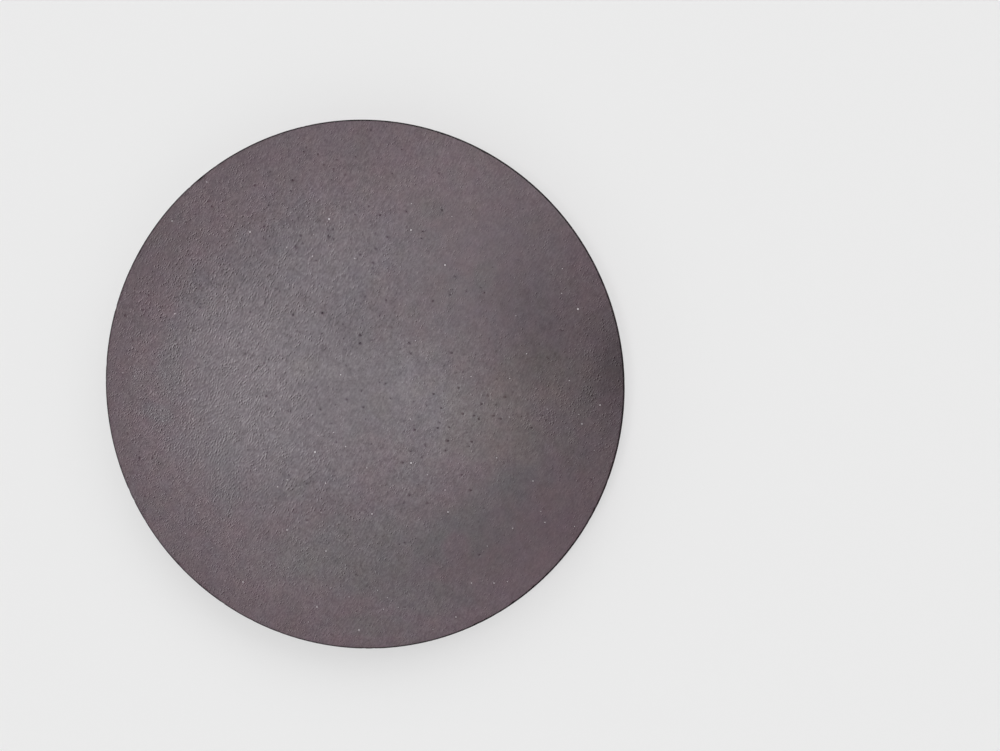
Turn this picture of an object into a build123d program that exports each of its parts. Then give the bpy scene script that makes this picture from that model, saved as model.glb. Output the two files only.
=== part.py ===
from build123d import *
import os

# Round sputtering target: one flat disc of dense sintered ceramic, pressed,
# fired and then ground. Both faces and the rim are ground, and the two sharp
# corners are broken by a small 45 degree chamfer so that they don't chip.
#
# Frame: +Z up along the disc's axis. The origin is the centre of the back
# face, which is the face that lies on the cooling plate, so the disc stands
# on z = 0 and the face that is worn away in use is at z = thickness.

# ---- driving dimensions, mm ------------------------------------------------
diameter = 50.8        # standard 2 inch target
thickness = 3.0        # standard blank thickness for this diameter
edge_break = 0.15      # 45 degree chamfer on the front and the back corner

radius = diameter / 2
rim_wall = thickness - 2 * edge_break    # straight ground wall between chamfers

os.makedirs("parts", exist_ok=True)

# ---- the disc ---------------------------------------------------------------
# Half section in the XZ plane, from the axis out to the rim, turned once
# round the axis. The wall is vertical and both faces are flat.
with BuildPart() as target_disc:
    with BuildSketch(Plane.XZ):
        with BuildLine():
            Polyline(
                (0, 0),
                (radius - edge_break, 0),
                (radius, edge_break),
                (radius, edge_break + rim_wall),
                (radius - edge_break, thickness),
                (0, thickness),
                close=True,
            )
        make_face()
    revolve(axis=Axis.Z)

target_disc.part.label = "target_disc"

export_step(target_disc.part, "parts/target_disc.step")

size = target_disc.part.bounding_box().size
print("target_disc", round(size.X, 3), round(size.Y, 3), round(size.Z, 3),
      "mm, volume", round(target_disc.part.volume, 2), "mm3,",
      len(target_disc.part.solids()), "solid")
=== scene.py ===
import bpy
import math
import numpy as np
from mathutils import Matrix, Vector
from mathutils.geometry import delaunay_2d_cdt


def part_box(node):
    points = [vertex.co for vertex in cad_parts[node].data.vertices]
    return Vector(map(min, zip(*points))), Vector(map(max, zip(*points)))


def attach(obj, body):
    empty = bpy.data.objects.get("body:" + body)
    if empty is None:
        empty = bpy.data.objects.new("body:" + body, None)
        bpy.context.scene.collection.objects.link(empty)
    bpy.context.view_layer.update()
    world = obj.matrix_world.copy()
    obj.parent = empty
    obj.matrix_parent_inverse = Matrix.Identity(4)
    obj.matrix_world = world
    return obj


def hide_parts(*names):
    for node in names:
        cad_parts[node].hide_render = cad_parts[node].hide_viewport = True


# A flat round disc of sintered, ground oxide ceramic lying on a pale table.
# Lengths in the mesh code are millimetres, and become metres at the end.

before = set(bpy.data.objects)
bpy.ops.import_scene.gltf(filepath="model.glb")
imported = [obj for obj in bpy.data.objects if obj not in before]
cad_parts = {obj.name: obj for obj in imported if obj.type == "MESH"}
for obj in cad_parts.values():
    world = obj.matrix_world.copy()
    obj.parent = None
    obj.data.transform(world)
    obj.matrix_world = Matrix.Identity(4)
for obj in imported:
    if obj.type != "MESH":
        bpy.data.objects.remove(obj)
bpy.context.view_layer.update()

MM = 0.001
lo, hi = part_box("target_disc")
R = (hi[0] - lo[0]) / 2 / MM          # 25.4, outer radius
T = (hi[2] - lo[2]) / MM              # 3.0, thickness
R = round(R, 1)
T = round(T, 2)
EDGE = 0.15                           # 45 degree edge break
RF = R - EDGE                         # radius of the flat of each face
LAY = math.radians(59.0)              # direction of the grinding lay, from +X

rng = np.random.default_rng(20)


# ---------------------------------------------------------------- surface ---
# The plainest features of the front face: x, y and radius in mm.
PORES = [
    (8.25, 16.79, 0.082), (-3.41, 7.14, 0.079), (2.31, 16.39, 0.074), (8.76, -5.01, 0.072),
    (-6.23, 19.81, 0.069), (0.28, 4.28, 0.068), (11.73, -2.89, 0.068), (-3.66, 22.22, 0.067),
    (16.76, -3.68, 0.066), (0.29, 5.04, 0.065), (5.58, -4.00, 0.064), (7.80, -3.79, 0.064),
    (-6.27, 6.95, 0.063), (-22.04, -7.09, 0.063), (-20.70, -7.07, 0.062), (-9.05, -0.87, 0.061),
    (-11.68, 4.25, 0.060), (-11.09, 3.19, 0.060), (-20.81, 8.92, 0.060), (-8.39, 20.60, 0.060),
    (11.06, -5.08, 0.060), (-10.54, 7.25, 0.059), (12.02, -1.46, 0.059), (-9.01, -6.41, 0.058),
    (-16.83, 15.95, 0.057), (-13.61, 9.86, 0.057), (7.43, -0.55, 0.056), (-6.00, 13.54, 0.056),
    (9.83, 0.04, 0.056), (13.83, -2.86, 0.056), (4.40, -7.18, 0.056), (7.36, 8.26, 0.055),
    (10.10, -8.24, 0.054), (1.49, 24.36, 0.054), (-9.98, 19.39, 0.054), (-16.29, 5.61, 0.054),
    (-22.53, 4.53, 0.054), (8.10, -1.88, 0.054), (9.17, 3.35, 0.053), (-2.26, 15.12, 0.053),
    (7.97, 20.24, 0.052), (15.89, 16.79, 0.052), (23.65, 3.67, 0.052), (14.30, -0.78, 0.051),
    (18.08, -2.91, 0.051), (2.84, 8.37, 0.051),
]
# bright crystal grains that stand in the surface
GRAINS = [
    (21.03, 7.48, 0.084), (5.18, -7.17, 0.073), (-2.64, 16.07, 0.072), (8.52, 11.64, 0.068),
    (-4.23, -6.25, 0.065), (5.28, 14.95, 0.063), (-0.02, -23.53, 0.062), (23.12, -1.46, 0.059),
    (-4.18, -21.40, 0.058), (-11.60, -19.15, 0.057), (8.74, -11.82, 0.056), (-10.44, 14.92, 0.055),
    (-7.10, -13.91, 0.054), (9.49, -21.95, 0.053), (21.45, -3.25, 0.053), (13.16, -18.55, 0.052),
    (1.34, -12.16, 0.052), (-18.24, 16.06, 0.052), (-3.23, -15.88, 0.051), (16.86, -8.70, 0.051),
]


# slow light and dark areas of the front face, which scale its colour and gloss together, partly its own tone and
# partly painted sheen: x, y, radius x, radius y in mm, strength
SHADES = [
    (-20.4, 16.6, 3.6, 4.1, -0.05),
    (-24.6, 0.5, 2.4, 10.3, -0.045),
    (23.4, -2.6, 6.1, 6.1, -0.06),
    (11.0, 18.9, 2.8, 2.8, 0.065),
    (5.0, 0.6, 1.9, 1.9, 0.07),
    (-3.7, 12.3, 2.8, 2.8, 0.05),
    (16.4, 5.2, 6.1, 6.1, -0.12),
    (19.3, -9.8, 6.1, 6.1, -0.09),
    (-9.2, -3.5, 6.8, 7.0, 0.097),
    (-12.6, 4.9, 5.8, 4.6, 0.11),
    (3.2, 7.5, 5.6, 3.0, -0.07),
    (20.6, 13.5, 6.1, 2.8, -0.065),
    (8.0, -2.1, 4.7, 4.7, 0.105),
    (7.2, 21.0, 3.6, 2.8, 0.085),
    (-15.4, -4.2, 5.0, 5.4, 0.075),
    (-9.3, -18.4, 3.9, 2.8, 0.05),
    (-6.1, -18.2, 4.6, 2.8, 0.06),
    (6.0, -21.6, 5.6, 2.1, 0.07),
    (0.6, -24.0, 3.7, 1.1, 0.05),
    (-12.6, 14.7, 4.2, 4.2, -0.045),
    (-0.6, 13.6, 6.6, 5.2, 0.06),
    (-20.6, 11.0, 3.9, 4.7, -0.11),
    (-1.1, 5.5, 2.2, 1.9, -0.05),
    (17.4, 5.0, 3.2, 3.9, -0.095),
    (14.0, 9.0, 3.4, 2.2, -0.065),
    (16.6, -13.4, 3.9, 3.4, -0.05),
    (-11.8, 21.3, 3.0, 2.2, -0.05),
    (-2.2, -11.4, 4.2, 2.2, -0.075),
    (10.6, -15.2, 5.2, 4.6, -0.10),
    (24.6, 2.2, 2.2, 4.5, -0.28),
    (22.6, 8.8, 2.6, 4.6, -0.08),
]


# tints that fired and ground ceramic of this kind shows, all near the body colour
PLUM = (0.0850, 0.0388, 0.0565)
ROSE = (0.0772, 0.0396, 0.0547)
LILAC = (0.0714, 0.0407, 0.0598)
STEEL = (0.0600, 0.0409, 0.0549)
GREY = (0.0640, 0.0425, 0.0525)
SLATE = (0.0562, 0.0398, 0.0488)
TAUPE = (0.0696, 0.0458, 0.0505)
UMBER = (0.0795, 0.0479, 0.0507)
BROWN = (0.0724, 0.0444, 0.0452)

# patches of slightly different tint: x, y, radius x, radius y, turn, weight, tint
TINTS = [
    (6.6, 7.2, 5.8, 4.9, 0, 0.55, ROSE),
    (0.8, -6.6, 5.0, 2.4, 0, 0.6, ROSE),
    (15.7, 9.7, 5.1, 8.2, 10, 0.55, LILAC),
    (-0.6, -16.0, 12.2, 4.5, 8, 0.8, SLATE),
    (12.1, -12.3, 7.5, 3.2, 42, 0.75, SLATE),
    (9.6, -15.4, 1.7, 2.1, 0, 0.85, PLUM),
    (1.3, -23.1, 5.8, 1.3, 0, 0.6, GREY),
    (16.0, -5.1, 1.8, 2.1, 0, 0.8, TAUPE),
    (13.3, -4.7, 5.1, 2.2, 0, 0.45, BROWN),
    (20.9, -0.4, 2.2, 3.4, 0, 0.5, BROWN),
    (8.0, -5.5, 2.1, 1.1, 15, 0.5, GREY),
    (20.1, -5.1, 1.3, 1.5, 0, 0.6, TAUPE),
    (10.9, -1.6, 3.4, 5.8, 5, 0.6, TAUPE),
    (14.9, -0.9, 2.8, 6.7, -12, 0.75, UMBER),
    (19.0, -13.4, 7.5, 5.2, 45, 0.45, PLUM),
    (22.6, 14.3, 3.2, 7.0, -12, 0.5, PLUM),
    (-20.1, 8.6, 2.4, 2.6, 0, 0.6, PLUM),
    (0.5, -10.4, 3.6, 2.3, 0, 0.6, ROSE),
    (6.9, -20.1, 5.1, 2.2, 0, 0.7, SLATE),
    (-18.6, 1.6, 1.8, 4.2, 0, 0.7, STEEL),
    (-14.8, -5.0, 5.2, 4.8, 0, 0.55, STEEL),
    (22.6, 9.0, 4.4, 5.4, 0, 0.6, PLUM),
    (10.2, 4.1, 2.2, 2.2, 0, 0.5, ROSE),
    (2.7, 8.0, 2.2, 3.4, 0, 0.5, ROSE),
    (-5.0, 1.9, 2.1, 1.7, 20, 0.5, TAUPE),
    (2.0, -1.5, 1.7, 1.3, 20, 0.5, TAUPE),
    (6.5, 0.1, 1.8, 1.4, 20, 0.5, TAUPE),
    (-6.2, -9.7, 1.5, 1.2, 20, 0.5, TAUPE),
    (-19.9, -2.6, 2.2, 1.3, -15, 0.8, STEEL),
    (-13.4, -8.6, 2.6, 5.4, 0, 0.8, STEEL),
    (7.2, 16.8, 1.5, 1.3, 0, 0.6, GREY),
    (12.4, 10.7, 1.4, 1.7, 0, 0.6, GREY),
    (18.2, 2.1, 1.9, 2.1, 0, 0.7, BROWN),
]


def scatter(count, r_low, r_high, taken, centre=None, spread=None, limit=RF - 0.6, gap=0.42):
    """Seeded random spots inside the face that stay clear of each other."""
    out = []
    tries = 0
    while len(out) < count and tries < count * 60:
        tries += 1
        if centre is None:
            a = rng.random() * 2 * math.pi
            d = math.sqrt(rng.random()) * limit
            x, y = d * math.cos(a), d * math.sin(a)
        else:
            x = centre[0] + rng.normal() * spread[0]
            y = centre[1] + rng.normal() * spread[1]
            if math.hypot(x, y) > limit:
                continue
        if taken and min((x - q[0]) ** 2 + (y - q[1]) ** 2 for q in taken) < gap * gap:
            continue
        r = r_low + (r_high - r_low) * rng.random() ** 2.2
        out.append((x, y, r))
        taken.append((x, y))
    return out


taken = [(p[0], p[1]) for p in PORES] + [(g[0], g[1]) for g in GRAINS]
small = scatter(34, 0.028, 0.050, taken, centre=(9.0, -3.2), spread=(4.2, 3.2))
small += scatter(170, 0.026, 0.050, taken)
small += scatter(40, 0.028, 0.052, taken, centre=(-6.0, 14.0), spread=(9.0, 6.0))
small_grains = scatter(64, 0.030, 0.048, taken)

pits = [(x, y, r * 0.90, r * 0.55) for x, y, r in PORES + small]
grains = list(GRAINS) + small_grains


def waves(n, along, across, seed):
    """Random plane waves with long crests along the lay: (kx, ky, phase, weight)."""
    g = np.random.default_rng(seed)
    out = []
    for _ in range(n):
        lu = math.exp(g.uniform(math.log(along[0]), math.log(along[1])))
        lv = math.exp(g.uniform(math.log(across[0]), math.log(across[1])))
        ku = 2 * math.pi / lu * (1 if g.random() < 0.5 else -1)
        kv = 2 * math.pi / lv
        kx = ku * math.cos(LAY) - kv * math.sin(LAY)
        ky = ku * math.sin(LAY) + kv * math.cos(LAY)
        out.append((kx, ky, g.random() * 2 * math.pi, lv))
    return out


RELIEF = waves(70, (2.0, 9.0), (0.55, 4.0), 3)


def relief(x, y):
    """Very shallow unevenness left by grinding, mm."""
    z = np.zeros_like(x)
    for kx, ky, ph, w in RELIEF:
        z += w * np.cos(kx * x + ky * y + ph)
    return z * 0.000055


def face_points(du, dv, features, seed):
    """Jittered lattice along the lay, thinned round each feature."""
    g = np.random.default_rng(seed)
    nu, nv = int(2 * R / du) + 4, int(2 * R / dv) + 4
    iu, iv = np.meshgrid(np.arange(-nu // 2, nu // 2 + 1), np.arange(-nv // 2, nv // 2 + 1))
    u = (iu + 0.5 * (iv % 2)) * du + g.uniform(-0.18, 0.18, iu.shape) * du
    v = iv * dv + g.uniform(-0.18, 0.18, iv.shape) * dv
    x = (u * math.cos(LAY) - v * math.sin(LAY)).ravel()
    y = (u * math.sin(LAY) + v * math.cos(LAY)).ravel()
    keep = np.hypot(x, y) < RF - 0.12
    for f in features:
        keep &= (x - f[0]) ** 2 + (y - f[1]) ** 2 > (1.55 * f[2] + 0.02) ** 2
    return x[keep], y[keep]


N_RIM = 1200
phi = np.arange(N_RIM) * 2 * math.pi / N_RIM


def around(seed, terms):
    """A smooth random profile round the rim."""
    g = np.random.default_rng(seed)
    out = np.zeros(N_RIM)
    for low, high, amp in terms:
        for k in g.integers(low, high, 24):
            out += amp / 24 ** 0.5 * np.cos(k * phi + g.random() * 2 * math.pi)
    return out


def chips(seed, count, width, depth):
    """Small flakes missing from a corner: depth in mm at each point of the rim."""
    g = np.random.default_rng(seed)
    out = np.zeros(N_RIM)
    for _ in range(count):
        a = g.random() * 2 * math.pi
        w = g.uniform(*width) / R
        d = depth[0] + (depth[1] - depth[0]) * g.random() ** 2
        s = np.abs((phi - a + math.pi) % (2 * math.pi) - math.pi) / w
        out = np.maximum(out, d * np.clip(1 - s ** 2, 0, None) ** 0.7)
    return out


verts, faces, mats = [], [], []
attr_pit, attr_grain = [], []
uv_of = []          # one list of (u, v) per face


def add_vertex(x, y, z, pit=0.0, grain=0.0):
    verts.append((x * MM, y * MM, z * MM))
    attr_pit.append(pit)
    attr_grain.append(grain)
    return len(verts) - 1


def face_uv(x, y, top):
    if top:
        return (0.368 + x / R * 0.358, 0.368 + y / R * 0.358)
    return (0.866 - x / R * 0.124, 0.130 + y / R * 0.124)


def build_face(top, du, dv, pit_list, grain_list, seed, edge_r, edge_z):
    """One ground face. Its outline is a circle of N_RIM points, returned in order."""
    feats = [(f[0], f[1], f[2]) for f in pit_list] + [(f[0], f[1], f[2]) for f in grain_list]
    lx, ly = face_points(du, dv, feats, seed)
    pts = [(float(a), float(b)) for a, b in zip(lx, ly)]
    dz = [0.0] * len(pts)
    pit = [0.0] * len(pts)
    grain = [0.0] * len(pts)
    g = np.random.default_rng(seed + 1)

    for x, y, r, depth in pit_list:
        n = 12 if r > 0.08 else 9
        a3 = g.random() * 6.28
        stretch = g.uniform(0.08, 0.30)
        for fr, dep, dark in ((0.0, 1.0, 1.0), (0.42, 0.93, 1.0), (0.80, 0.60, 0.9), (1.0, 0.10, 0.6), (1.22, 0.0, 0.0)):
            m = 1 if fr == 0 else n
            for k in range(m):
                a = 2 * math.pi * (k + 0.5 * (fr > 0.9)) / n
                rr = r * fr * (1 + stretch * math.cos(2 * (a - LAY)) + 0.12 * math.cos(3 * a + a3))
                pts.append((x + rr * math.cos(a), y + rr * math.sin(a)))
                dz.append(-depth * dep)
                pit.append(dark)
                grain.append(0.0)
    for f in grain_list:
        x, y, r = f[0], f[1], f[2]
        n = 8
        tilt = g.uniform(-1, 1, 2)
        for fr, up, b in ((0.0, 1.0, 1.0), (0.6, 0.8, 1.0), (1.0, 0.15, 0.35), (1.3, 0.0, 0.0)):
            m = 1 if fr == 0 else n
            for k in range(m):
                a = 2 * math.pi * (k + 0.5 * (fr > 0.9)) / n
                rr = r * fr
                ox, oy = rr * math.cos(a), rr * math.sin(a)
                pts.append((x + ox, y + oy))
                dz.append(0.010 * up + 0.10 * (ox * tilt[0] + oy * tilt[1]) * (up > 0))
                pit.append(0.0)
                grain.append(b)

    inner = len(pts)
    px = np.array([p[0] for p in pts])
    py = np.array([p[1] for p in pts])
    # the outline, two close rings so that the arris stays crisp
    ring2 = [( (RF - 0.035) * math.cos(a), (RF - 0.035) * math.sin(a)) for a in phi]
    ring1 = [(RF * math.cos(a), RF * math.sin(a)) for a in phi]
    allp = pts + ring2 + ring1
    out = delaunay_2d_cdt([Vector(p) for p in allp], [], [], 0, 1e-7)
    v2, tris, orig = out[0], out[2], out[3]

    z0 = T if top else 0.0
    sgn = 1.0 if top else -1.0
    wave = relief(px, py)
    index = {}
    for i, o in enumerate(orig):
        k = o[0]
        if k < inner:
            x, y = allp[k]
            z = z0 + sgn * (dz[k] + wave[k] - 0.0006)
            index[i] = add_vertex(x, y, z, pit[k], grain[k])
        else:
            j = (k - inner) % N_RIM
            first = k - inner < N_RIM
            rr = edge_r[j] - (0.035 if first else 0.0)
            z = z0 + sgn * (-0.0012 if first else edge_z[j])
            index[i] = add_vertex(rr * math.cos(phi[j]), rr * math.sin(phi[j]), z)
    outline = [None] * N_RIM
    for i, o in enumerate(orig):
        k = o[0] - inner - N_RIM
        if k >= 0:
            outline[k] = index[i]
    for t in tris:
        a, b, c = t
        pa, pb, pc = v2[a], v2[b], v2[c]
        area = (pb.x - pa.x) * (pc.y - pa.y) - (pb.y - pa.y) * (pc.x - pa.x)
        if abs(area) < 1e-9:
            continue
        if (area > 0) != top:
            b, c = c, b
        f = (index[a], index[b], index[c])
        faces.append(f)
        mats.append(0 if top else 2)
        uv_of.append([face_uv(verts[q][0] / MM, verts[q][1] / MM, top) for q in f])
    return outline


wob_top = 0.006 * np.abs(around(31, [(3, 40, 1.0), (60, 400, 0.9)]))
wob_bot = 0.008 * np.abs(around(32, [(3, 40, 1.0), (60, 400, 0.9)]))
chip_top = chips(41, 46, (0.10, 0.34), (0.012, 0.060))
chip_bot = chips(42, 60, (0.10, 0.42), (0.012, 0.085))
chip_top_out = chips(43, 40, (0.10, 0.30), (0.008, 0.035))
chip_bot_out = chips(44, 40, (0.10, 0.30), (0.008, 0.040))

top_r = RF - wob_top - chip_top
top_z = -0.0025 - chip_top * 0.25
bot_r = RF - wob_bot - chip_bot
bot_z = -0.0025 - chip_bot * 0.25

outline_top = build_face(True, 0.36, 0.145, pits, grains, 5, top_r, top_z)

back_taken = []
back_small = scatter(90, 0.045, 0.10, back_taken)
back_pits = [(x, y, r, r * 0.75) for x, y, r in back_small]
outline_bot = build_face(False, 0.95, 0.55, back_pits, [], 9, bot_r, bot_z)

# chamfers and rim wall: rings from the top outline down to the bottom outline
rings = []          # each (radius array, z array, material)
mid_t = (RF + R) / 2
ct = chip_top_out
cb = chip_bot_out
wall = around(51, [(2, 9, 0.0016), (30, 300, 0.0008)])
rings.append((np.full(N_RIM, mid_t) - 0.5 * wob_top - 0.45 * chip_top - 0.4 * ct + 0.003,
              np.full(N_RIM, T - EDGE / 2) - 0.3 * chip_top - 0.3 * ct + 0.003))
rings.append((np.full(N_RIM, R - 0.004) - 0.8 * ct, np.full(N_RIM, T - EDGE + 0.004) - 0.5 * ct))
rings.append((np.full(N_RIM, R) - 0.5 * ct + wall, np.full(N_RIM, T - EDGE - 0.035) - 0.6 * ct))
zs = np.linspace(T - EDGE - 0.30, EDGE + 0.30, 6)
for i, z in enumerate(zs):
    w = wall + around(60 + i, [(20, 260, 0.0008)])
    rings.append((np.full(N_RIM, R) + w - 0.0016, np.full(N_RIM, z)))
rings.append((np.full(N_RIM, R) - 0.5 * cb + wall, np.full(N_RIM, EDGE + 0.035) + 0.6 * cb))
rings.append((np.full(N_RIM, R - 0.004) - 0.8 * cb, np.full(N_RIM, EDGE - 0.004) + 0.5 * cb))
rings.append((np.full(N_RIM, mid_t) - 0.5 * wob_bot - 0.45 * chip_bot - 0.4 * cb + 0.003,
              np.full(N_RIM, EDGE / 2) + 0.3 * chip_bot + 0.3 * cb - 0.003))

loops = [outline_top]
for rad, zz in rings:
    rad = np.minimum(rad, R)
    loops.append([add_vertex(rad[j] * math.cos(phi[j]), rad[j] * math.sin(phi[j]), float(zz[j]))
                  for j in range(N_RIM)])
loops.append(outline_bot)

# developed length down the section, for the wall's strip in the UV map
drop = [0.0]
for i in range(1, len(loops)):
    a, b = verts[loops[i - 1][0]], verts[loops[i][0]]
    ra, rb = math.hypot(a[0], a[1]), math.hypot(b[0], b[1])
    drop.append(drop[-1] + math.hypot(ra - rb, a[2] - b[2]) / MM)
total_drop = drop[-1]
STRIPS = 3
PER = N_RIM // STRIPS

for i in range(len(loops) - 1):
    up, dn = loops[i], loops[i + 1]
    for j in range(N_RIM):
        k = (j + 1) % N_RIM
        s = j // PER
        u0 = 0.012 + (j - s * PER) / PER * 0.976
        u1 = 0.012 + (j + 1 - s * PER) / PER * 0.976
        base = 0.985 - s * 0.082
        v0 = base - drop[i] / total_drop * 0.070
        v1 = base - drop[i + 1] / total_drop * 0.070
        faces.append((up[j], dn[j], dn[k], up[k]))
        mats.append(1)
        uv_of.append([(u0, v0), (u0, v1), (u1, v1), (u1, v0)])

mesh = bpy.data.meshes.new("ceramic_disc")
mesh.from_pydata(verts, [], faces)
mesh.update()
mesh.polygons.foreach_set("use_smooth", [True] * len(mesh.polygons))
mesh.polygons.foreach_set("material_index", mats)
uv = mesh.uv_layers.new(name="OFBake")
flat = [c for f in uv_of for p in f for c in p]
uv.data.foreach_set("uv", flat)
a = mesh.attributes.new("pit", "FLOAT", "POINT")
a.data.foreach_set("value", attr_pit)
a = mesh.attributes.new("grain", "FLOAT", "POINT")
a.data.foreach_set("value", attr_grain)
bad = mesh.validate(verbose=False)
mesh.update()
disc = bpy.data.objects.new("ceramic_disc", mesh)
bpy.context.collection.objects.link(disc)
tris = sum(len(p.vertices) - 2 for p in mesh.polygons)
print("ceramic_disc", len(mesh.vertices), "verts", tris, "tris, repaired", bad)


# --------------------------------------------------------------- materials ---
class Graph:
    """Small helper for building a node tree."""

    def __init__(self, tree):
        self.tree = tree
        tree.nodes.clear()

    def node(self, kind, **props):
        n = self.tree.nodes.new(kind)
        for k, v in props.items():
            setattr(n, k, v)
        return n

    def put(self, socket, value):
        if hasattr(value, "is_output"):
            self.tree.links.new(value, socket)
        else:
            socket.default_value = value

    def math(self, op, a, b=0.0, c=None, clamp=False):
        n = self.node("ShaderNodeMath", operation=op, use_clamp=clamp)
        self.put(n.inputs[0], a)
        self.put(n.inputs[1], b)
        if c is not None:
            self.put(n.inputs[2], c)
        return n.outputs[0]

    def vmath(self, op, a, b=None, scale=None):
        n = self.node("ShaderNodeVectorMath", operation=op)
        self.put(n.inputs[0], a)
        if b is not None:
            self.put(n.inputs[1], b)
        if scale is not None:
            self.put(n.inputs["Scale"], scale)
        return n.outputs["Value"] if op in ("DOT_PRODUCT", "LENGTH", "DISTANCE") else n.outputs["Vector"]

    def xyz(self, x, y, z=0.0):
        n = self.node("ShaderNodeCombineXYZ")
        self.put(n.inputs[0], x)
        self.put(n.inputs[1], y)
        self.put(n.inputs[2], z)
        return n.outputs[0]

    def noise(self, vec, scale, detail=2.0, rough=0.5, dims="3D", w=0.0):
        n = self.node("ShaderNodeTexNoise", noise_dimensions=dims)
        self.put(n.inputs["Vector"], vec)
        n.inputs["Scale"].default_value = scale
        n.inputs["Detail"].default_value = detail
        n.inputs["Roughness"].default_value = rough
        if dims == "4D":
            n.inputs["W"].default_value = w
        return n

    def voronoi(self, vec, scale=1.0, random=1.0, dims="3D"):
        n = self.node("ShaderNodeTexVoronoi", voronoi_dimensions=dims, feature="F1")
        self.put(n.inputs["Vector"], vec)
        n.inputs["Scale"].default_value = scale
        n.inputs["Randomness"].default_value = random
        return n

    def ramp(self, value, low, high, to_low=0.0, to_high=1.0, smooth=True):
        n = self.node("ShaderNodeMapRange", clamp=True)
        n.interpolation_type = "SMOOTHSTEP" if smooth else "LINEAR"
        self.put(n.inputs["Value"], value)
        n.inputs["From Min"].default_value = low
        n.inputs["From Max"].default_value = high
        n.inputs["To Min"].default_value = to_low
        n.inputs["To Max"].default_value = to_high
        return n.outputs["Result"]

    def mix(self, fac, a, b, blend="MIX"):
        n = self.node("ShaderNodeMix", data_type="RGBA", blend_type=blend)
        self.put(n.inputs[0], fac)
        self.put(n.inputs[6], a)
        self.put(n.inputs[7], b)
        return n.outputs[2]

    def split(self, vec):
        n = self.node("ShaderNodeSeparateXYZ")
        self.put(n.inputs[0], vec)
        return n.outputs

    def blob(self, p, cx, cy, rx, ry, turn=0.0):
        """Soft round or oval field, 1 at its centre and 0 outside, in mm."""
        if not turn:
            n = self.node("ShaderNodeVectorMath", operation="MULTIPLY_ADD")
            self.put(n.inputs[0], p)
            self.put(n.inputs[1], (1 / rx, 1 / ry, 0.0))
            self.put(n.inputs[2], (-cx / rx, -cy / ry, 0.0))
            d = n.outputs["Vector"]
            return self.math("EXPONENT", self.math("MULTIPLY", self.vmath("DOT_PRODUCT", d, d), -1.0))
        d = self.vmath("SUBTRACT", p, (cx, cy, 0.0))
        ca, sa = math.cos(math.radians(turn)), math.sin(math.radians(turn))
        u = self.vmath("DOT_PRODUCT", d, (ca / rx, sa / rx, 0.0))
        v = self.vmath("DOT_PRODUCT", d, (-sa / ry, ca / ry, 0.0))
        r2 = self.math("ADD", self.math("MULTIPLY", u, u), self.math("MULTIPLY", v, v))
        return self.math("EXPONENT", self.math("MULTIPLY", r2, -1.0))

    def areas(self, p, base, terms):
        """base plus a soft oval field for each (x, y, radius x, radius y, strength)."""
        total = base
        for cx, cy, rx, ry, k in terms:
            total = self.math("MULTIPLY_ADD", self.blob(p, cx, cy, rx, ry), k, total)
        return total


def rgb(r, g, b):
    return (r, g, b, 1.0)


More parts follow.
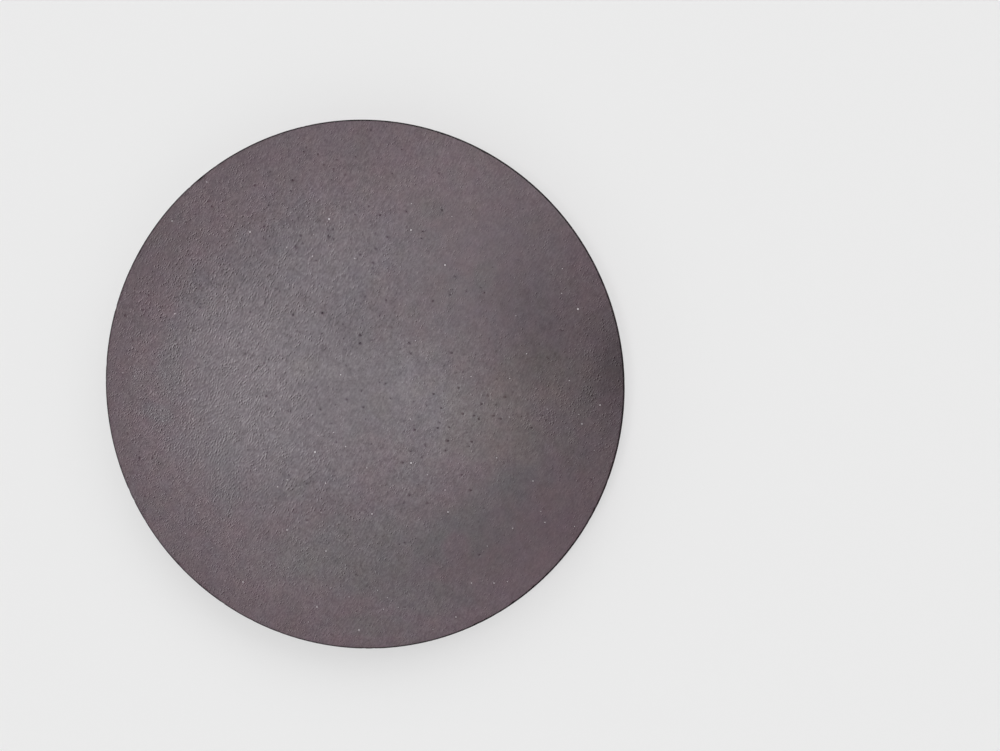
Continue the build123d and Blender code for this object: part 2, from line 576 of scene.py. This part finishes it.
def ceramic(name, zone):
    """Ground oxide ceramic. zone is 'front', 'rim' or 'back'."""
    mat = bpy.data.materials.new(name)
    mat.use_nodes = True
    g = Graph(mat.node_tree)
    tex = g.node("ShaderNodeTexCoord")
    p = g.vmath("SCALE", tex.outputs["Object"], scale=1000.0)     # millimetres

    # slow wander of the lay direction
    wander = g.vmath("SUBTRACT", g.noise(p, 0.30, 1.0).outputs["Color"], (0.5, 0.5, 0.5))
    q = g.vmath("ADD", p, g.vmath("SCALE", wander, scale=0.30))
    if zone == "rim":
        x, y, z = g.split(q)

        def lay(along, across, turn=0.0, shift=0.0):
            return g.xyz(g.math("MULTIPLY", x, 1 / along), g.math("MULTIPLY_ADD", z, 1 / across, shift / across),
                         g.math("MULTIPLY", y, 1 / along))
        dims = "3D"
    else:
        base = LAY if zone == "front" else math.radians(-34.0)

        def lay(along, across, turn=0.0, shift=0.0):
            c, s = math.cos(base + math.radians(turn)), math.sin(base + math.radians(turn))
            v = g.vmath("DOT_PRODUCT", q, (-s / across, c / across, 0.0))
            if shift:
                v = g.math("ADD", v, shift / across)
            return g.xyz(g.vmath("DOT_PRODUCT", q, (c / along, s / along, 0.0)), v)
        dims = "2D"

    def dashes(along, across, turn, density, shift=0.0):
        """Short marks along the lay, 0 to 1. shift moves them across the lay, in mm."""
        v = g.voronoi(lay(along, across, turn, shift), 1.0, 1.0, dims)
        body = g.ramp(v.outputs["Distance"], 0.10, 0.46, 1.0, 0.0)
        cr, cg, cb = g.split(v.outputs["Color"])
        present = g.ramp(cr, 1 - density - 0.15, 1 - density + 0.15)
        present = g.math("MULTIPLY", present, g.math("MULTIPLY_ADD", g.math("MULTIPLY", cb, cb), 1.45, 0.38))
        return g.math("MULTIPLY", body, present)

    def pair(along, across, turn, density, shift):
        """A mark with a light and a dark flank: painted highlight and painted shade of a scratch lit from one side,
        also used for its gloss and relief.
        """
        return g.math("SUBTRACT", dashes(along, across, turn, density),
                      dashes(along, across, turn, density, shift))

    p1 = pair(0.27, 0.132, 0.0, 0.28, 0.070)
    p2 = pair(0.24, 0.095, -6.0, 0.32, 0.052)
    lone = dashes(0.30, 0.115, 6.0, 0.13)
    fine = g.math("SUBTRACT", g.noise(lay(0.70, 0.190, 2.0), 1.0, 2.0, 0.6).outputs["Fac"], 0.5)
    broad = g.math("SUBTRACT", g.noise(lay(1.6, 0.55, -3.0), 1.0, 2.0, 0.55).outputs["Fac"], 0.5)
    speck = g.math("SUBTRACT", g.noise(p, 4.8, 2.0, 0.65).outputs["Fac"], 0.5)
    grit = g.math("SUBTRACT", g.noise(p, 7.5, 1.0, 0.5).outputs["Fac"], 0.5)

    # slow clouds
    c_big = g.noise(p, 0.085, 2.0, 0.5).outputs["Fac"]
    c_mid = g.noise(p, 0.34, 3.0, 0.6).outputs["Fac"]

    pit = g.node("ShaderNodeAttribute", attribute_name="pit").outputs["Fac"]
    grain = g.node("ShaderNodeAttribute", attribute_name="grain").outputs["Fac"]

    bsdf = g.node("ShaderNodeBsdfPrincipled")
    out = g.node("ShaderNodeOutputMaterial")
    g.tree.links.new(bsdf.outputs["BSDF"], out.inputs["Surface"])

    # colour ---------------------------------------------------------------
    mauve = rgb(0.0776, 0.0398, 0.0555)
    cool = rgb(0.0656, 0.0402, 0.0565)
    if zone == "front":
        # fields of slightly different tint, with ragged edges
        ragged = g.math("ADD", g.math("MULTIPLY", g.math("SUBTRACT", c_big, 0.5), 0.55),
                        g.math("MULTIPLY", g.math("SUBTRACT", c_mid, 0.5), 0.60))

        def field(cx, cy, rx, ry, turn, low, high):
            return g.ramp(g.math("ADD", g.blob(p, cx, cy, rx, ry, turn), ragged), low, high)

        col = g.mix(field(-3.6, 2.2, 17.0, 17.0, 0.0, 0.34, 0.62), mauve, cool)
        for cx, cy, rx, ry, turn, weight, c in TINTS:
            col = g.mix(g.math("MULTIPLY", field(cx, cy, rx, ry, turn, 0.30, 0.80), weight), col, rgb(*c))
        edge_dark = g.blob(p, 27.5, 2.0, 9.0, 13.0)
    else:
        col = g.mix(g.ramp(c_big, 0.38, 0.62), mauve, cool)
    # weaker tint changes all over, a few mm across, least in the even grey left of the middle
    vary = g.areas(p, 1.0, ((-9.5, 0.5, 9.5, 8.5, -0.85),)) if zone == "front" else 1.0
    tr, tg, tb = g.split(g.noise(p, 0.50, 2.0, 0.55, "4D", 3.7).outputs["Color"])
    tr = g.math("MULTIPLY_ADD", g.math("SUBTRACT", tr, 0.5), g.math("MULTIPLY", vary, 0.42), 1.0)
    tg = g.math("MULTIPLY_ADD", g.math("SUBTRACT", tg, 0.5), g.math("MULTIPLY", vary, 0.34), 1.0)
    tb = g.math("MULTIPLY_ADD", g.math("SUBTRACT", tb, 0.5), g.math("MULTIPLY", vary, 0.32), 1.0)
    col = g.mix(1.0, col, g.xyz(tr, tg, tb), "MULTIPLY")

    # marks: light and dark flanks of the scratches, partly painted highlight and painted shade of their relief, plus
    # grain, about -1 to 1
    patchy = g.ramp(g.noise(p, 0.75, 3.0, 0.55).outputs["Fac"], 0.36, 0.66, 0.25, 1.55)
    left = g.blob(p, -15.5, -3.0, 9.0, 16.0) if zone == "front" else 0.0
    marks = g.math("ADD", g.math("MULTIPLY", p1, 1.6), g.math("MULTIPLY", p2, g.math("MULTIPLY_ADD", left, 1.3, 0.7)))
    marks = g.math("MULTIPLY", g.math("ADD", marks, g.math("MULTIPLY", lone, 0.5)), patchy)
    streaks = g.math("ADD", g.math("MULTIPLY", fine, 1.10), g.math("MULTIPLY", speck, 1.05))
    if zone == "front":
        # where the lay shows most: left of the middle, where the sheen lies, so the painted flank highlights and
        # shades are strongest there, and a rough spot by the right edge
        marks = g.math("MULTIPLY", marks, g.areas(p, 0.34, (
            (-15.3, -1.0, 9.5, 19.0, 1.30), (11.0, 11.0, 9.0, 9.0, -0.14), (-0.5, -1.5, 6.5, 5.0, -0.36),
            (23.3, 1.0, 3.0, 6.0, 1.00), (19.3, -1.8, 3.6, 2.6, 0.75), (-16.5, -14.5, 4.0, 4.0, -0.20),
            (16.5, -14.0, 10.0, 9.0, -0.16))))
        streaks = g.math("ADD", streaks, g.math("MULTIPLY", g.math("MULTIPLY", grit, left), 2.6))
        streaks = g.math("MULTIPLY", streaks, g.areas(p, 0.85, (
            (11.0, 11.0, 9.0, 9.0, -0.48), (16.5, -14.5, 10.0, 8.0, -0.46), (-0.5, -1.5, 6.0, 5.0, -0.25),
            (-16.0, -3.0, 8.0, 16.0, -0.45))))
    else:
        marks = g.math("MULTIPLY", marks, 0.35)
    marks = g.math("ADD", marks, streaks)
    if zone == "rim":
        # long fine lines round the wall, from edge grinding
        hoop = g.noise(g.xyz(g.math("MULTIPLY", g.split(p)[0], 0.16), g.math("MULTIPLY", g.split(p)[2], 9.0),
                             g.math("MULTIPLY", g.split(p)[1], 0.16)), 1.0, 3.0, 0.6).outputs["Fac"]
        marks = g.math("ADD", g.math("MULTIPLY", marks, 0.55), g.math("MULTIPLY", g.math("SUBTRACT", hoop, 0.5), 1.0))
    # the strongest marks level off
    marks = g.math("DIVIDE", g.math("MULTIPLY", marks, 1.36), g.math("MULTIPLY_ADD", g.math("ABSOLUTE", marks), 0.36, 1.0))
    marks = g.math("SMOOTH_MIN", marks, 1.35, 0.6)

    if zone == "front":
        # slow light and dark ovals: partly the face's own tone, partly painted sheen
        shade = g.areas(p, 1.0, SHADES)
    mottle = g.math("SUBTRACT", g.noise(p, 1.1, 3.0, 0.62, "4D", 8.1).outputs["Fac"], 0.5)
    tone = g.math("ADD", 0.980, g.math("MULTIPLY", g.math("SUBTRACT", c_mid, 0.5), 0.35))
    tone = g.math("ADD", tone, g.math("MULTIPLY", mottle, 0.50))
    # the marks go into the colour: their paired flanks as painted highlight and shade, the rest as grain
    tone = g.math("ADD", tone, g.math("MULTIPLY", marks, 0.34))
    if zone == "front":
        # the ovals lighten and darken the colour: partly painted sheen, partly tone
        tone = g.math("MULTIPLY", tone, shade)
        tone = g.math("MULTIPLY", tone, g.math("SUBTRACT", 1.0, g.math("MULTIPLY", edge_dark, 0.30)))
    col = g.mix(1.0, col, g.xyz(tone, tone, tone), "MULTIPLY")
    if zone == "rim":
        # the edge breaks are painted near black, a painted shade line along both corners of the wall, broken up a
        # little by noise
        pz = g.split(p)[2]
        corner = g.math("ADD", g.math("GREATER_THAN", pz, T - EDGE - 0.01), g.math("LESS_THAN", pz, EDGE + 0.01))
        corner = g.math("MULTIPLY", corner, g.ramp(g.noise(p, 2.6, 3.0, 0.7).outputs["Fac"], 0.36, 0.56, 0.78, 1.0))
        col = g.mix(corner, col, rgb(0.008, 0.005, 0.006))
    # the pits are painted near black inside: painted shade in the pores of both faces
    col = g.mix(g.math("MULTIPLY", pit, 0.66), col, rgb(0.020, 0.013, 0.015))
    col = g.mix(grain, col, rgb(0.62, 0.58, 0.60))
    g.put(bsdf.inputs["Base Color"], col)

    # roughness and gloss ----------------------------------------------------
    rough = 0.38 if zone == "front" else 0.46
    r = g.math("ADD", rough, g.math("MULTIPLY", g.math("SUBTRACT", c_mid, 0.5), 0.06))
    r = g.math("ADD", r, g.math("MULTIPLY", marks, -0.060))
    r = g.math("ADD", r, g.math("MULTIPLY", mottle, -0.045))
    if zone == "front":
        r = g.math("ADD", r, g.math("MULTIPLY", edge_dark, 0.10))
    r = g.math("ADD", r, g.math("MULTIPLY", pit, 0.20))
    g.put(bsdf.inputs["Roughness"], r)
    gloss = g.math("ADD", 0.5, g.math("MULTIPLY", marks, 0.36))
    gloss = g.math("ADD", gloss, g.math("MULTIPLY", mottle, 0.15))
    if zone == "front":
        gloss = g.math("MULTIPLY", gloss, shade)
    if zone == "rim":
        # the painted shade on the corners also takes nearly all their gloss away
        gloss = g.math("MULTIPLY", gloss, g.math("SUBTRACT", 1.0, g.math("MULTIPLY", corner, 0.95)))
    gloss = g.math("MAXIMUM", gloss, 0.05)
    gloss = g.math("MULTIPLY", gloss, g.math("SUBTRACT", 1.0, g.math("MULTIPLY", pit, 0.8)))
    g.put(bsdf.inputs["Specular IOR Level"], gloss)
    bsdf.inputs["IOR"].default_value = 1.8

    # relief -----------------------------------------------------------------
    h = g.math("ADD", g.math("MULTIPLY", marks, 0.5), g.math("MULTIPLY", broad, 1.2))
    bump = g.node("ShaderNodeBump")
    bump.inputs["Strength"].default_value = 1.0
    bump.inputs["Distance"].default_value = 0.0000025
    g.put(bump.inputs["Height"], h)
    g.tree.links.new(bump.outputs["Normal"], bsdf.inputs["Normal"])
    return mat


for m in (ceramic("ceramic_front", "front"), ceramic("ceramic_rim", "rim"), ceramic("ceramic_back", "back")):
    mesh.materials.append(m)

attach(disc, "root")
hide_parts("target_disc")


# -------------------------------------------------------------------- floor ---
def floor():
    n, size = 96, 3.0
    v = [(0, 0, -0.00002)] + [(size * math.cos(2 * math.pi * k / n), size * math.sin(2 * math.pi * k / n), -0.00002)
                              for k in range(n)]
    f = [(0, k + 1, (k + 1) % n + 1) for k in range(n)]
    me = bpy.data.meshes.new("table")
    me.from_pydata(v, [], f)
    ob = bpy.data.objects.new("table", me)
    bpy.context.collection.objects.link(ob)
    mat = bpy.data.materials.new("table_white")
    mat.use_nodes = True
    g = Graph(mat.node_tree)
    out = g.node("ShaderNodeOutputMaterial")
    b = g.node("ShaderNodeBsdfPrincipled")
    b.inputs["Base Color"].default_value = rgb(0.40, 0.40, 0.40)
    b.inputs["Roughness"].default_value = 1.0
    b.inputs["Specular IOR Level"].default_value = 0.0
    b.inputs["Emission Color"].default_value = rgb(1, 1, 1)
    b.inputs["Emission Strength"].default_value = 0.477
    g.tree.links.new(b.outputs["BSDF"], out.inputs["Surface"])
    me.materials.append(mat)
    return ob


floor()


# ------------------------------------------------------------------- lights ---
def softbox(name, zenith, azimuth, spread, strength):
    """Large soft box, very far away. Angles in degrees, azimuth from +X; spread is how wide it looks."""
    z, a = math.radians(zenith), math.radians(azimuth)
    toward = Vector((math.sin(z) * math.cos(a), math.sin(z) * math.sin(a), math.cos(z)))
    data = bpy.data.lights.new(name, "SUN")
    data.angle = math.radians(spread)
    data.energy = strength
    ob = bpy.data.objects.new(name, data)
    ob.location = toward * 1.6
    ob.rotation_euler = (-toward).to_track_quat("-Z", "Y").to_euler()
    ob.visible_camera = False
    bpy.context.collection.objects.link(ob)
    return ob


# Two narrow boxes give the sheen, just left of the middle. The others are
# wide, for a flat table and a weak shadow.
softbox("gloss_a", 13.4, 190.0, 16.0, 0.158)
softbox("gloss_b", 17.3, 190.0, 16.0, 0.312)
softbox("soft_top", 35.0, 110.0, 46.0, 0.236)
softbox("soft_right", 30.0, 60.0, 46.0, 0.548)
softbox("soft_front", 45.0, 270.0, 65.0, 0.516)
softbox("low_back", 60.0, 90.0, 31.5, 0.617)
softbox("low_right", 60.0, 45.0, 31.5, 0.609)

world = bpy.data.worlds.new("studio")
bpy.context.scene.world = world
world.use_nodes = True
g = Graph(world.node_tree)
tex = g.node("ShaderNodeTexCoord")
up = g.split(tex.outputs["Generated"])[2]
level = g.ramp(up, 0.36, 0.64, 0.83, 0.0)
bg = g.node("ShaderNodeBackground")
g.put(bg.inputs["Color"], g.xyz(level, level, level))
bg.inputs["Strength"].default_value = 1.0
wo = g.node("ShaderNodeOutputWorld")
g.tree.links.new(bg.outputs[0], wo.inputs["Surface"])

# ------------------------------------------------------------------- camera ---
cam_data = bpy.data.cameras.new("camera")
cam_data.sensor_fit = "HORIZONTAL"
cam_data.sensor_width = 36.0
cam_data.lens = 36.0
cam_data.clip_start = 0.002
cam_data.clip_end = 50.0
cam = bpy.data.objects.new("camera", cam_data)
cam.location = (0.0240012, 0.0060443, 0.0964852)
cam.rotation_mode = "XYZ"
cam.rotation_euler = (math.radians(-2.9208), math.radians(6.2684), 0.0)
bpy.context.collection.objects.link(cam)
bpy.context.scene.camera = cam

bpy.context.scene.view_settings.view_transform = "Standard"
bpy.context.scene.view_settings.look = "None"
bpy.context.scene.view_settings.exposure = 0.0
bpy.context.scene.view_settings.gamma = 1.0

bpy.context.view_layer.update()
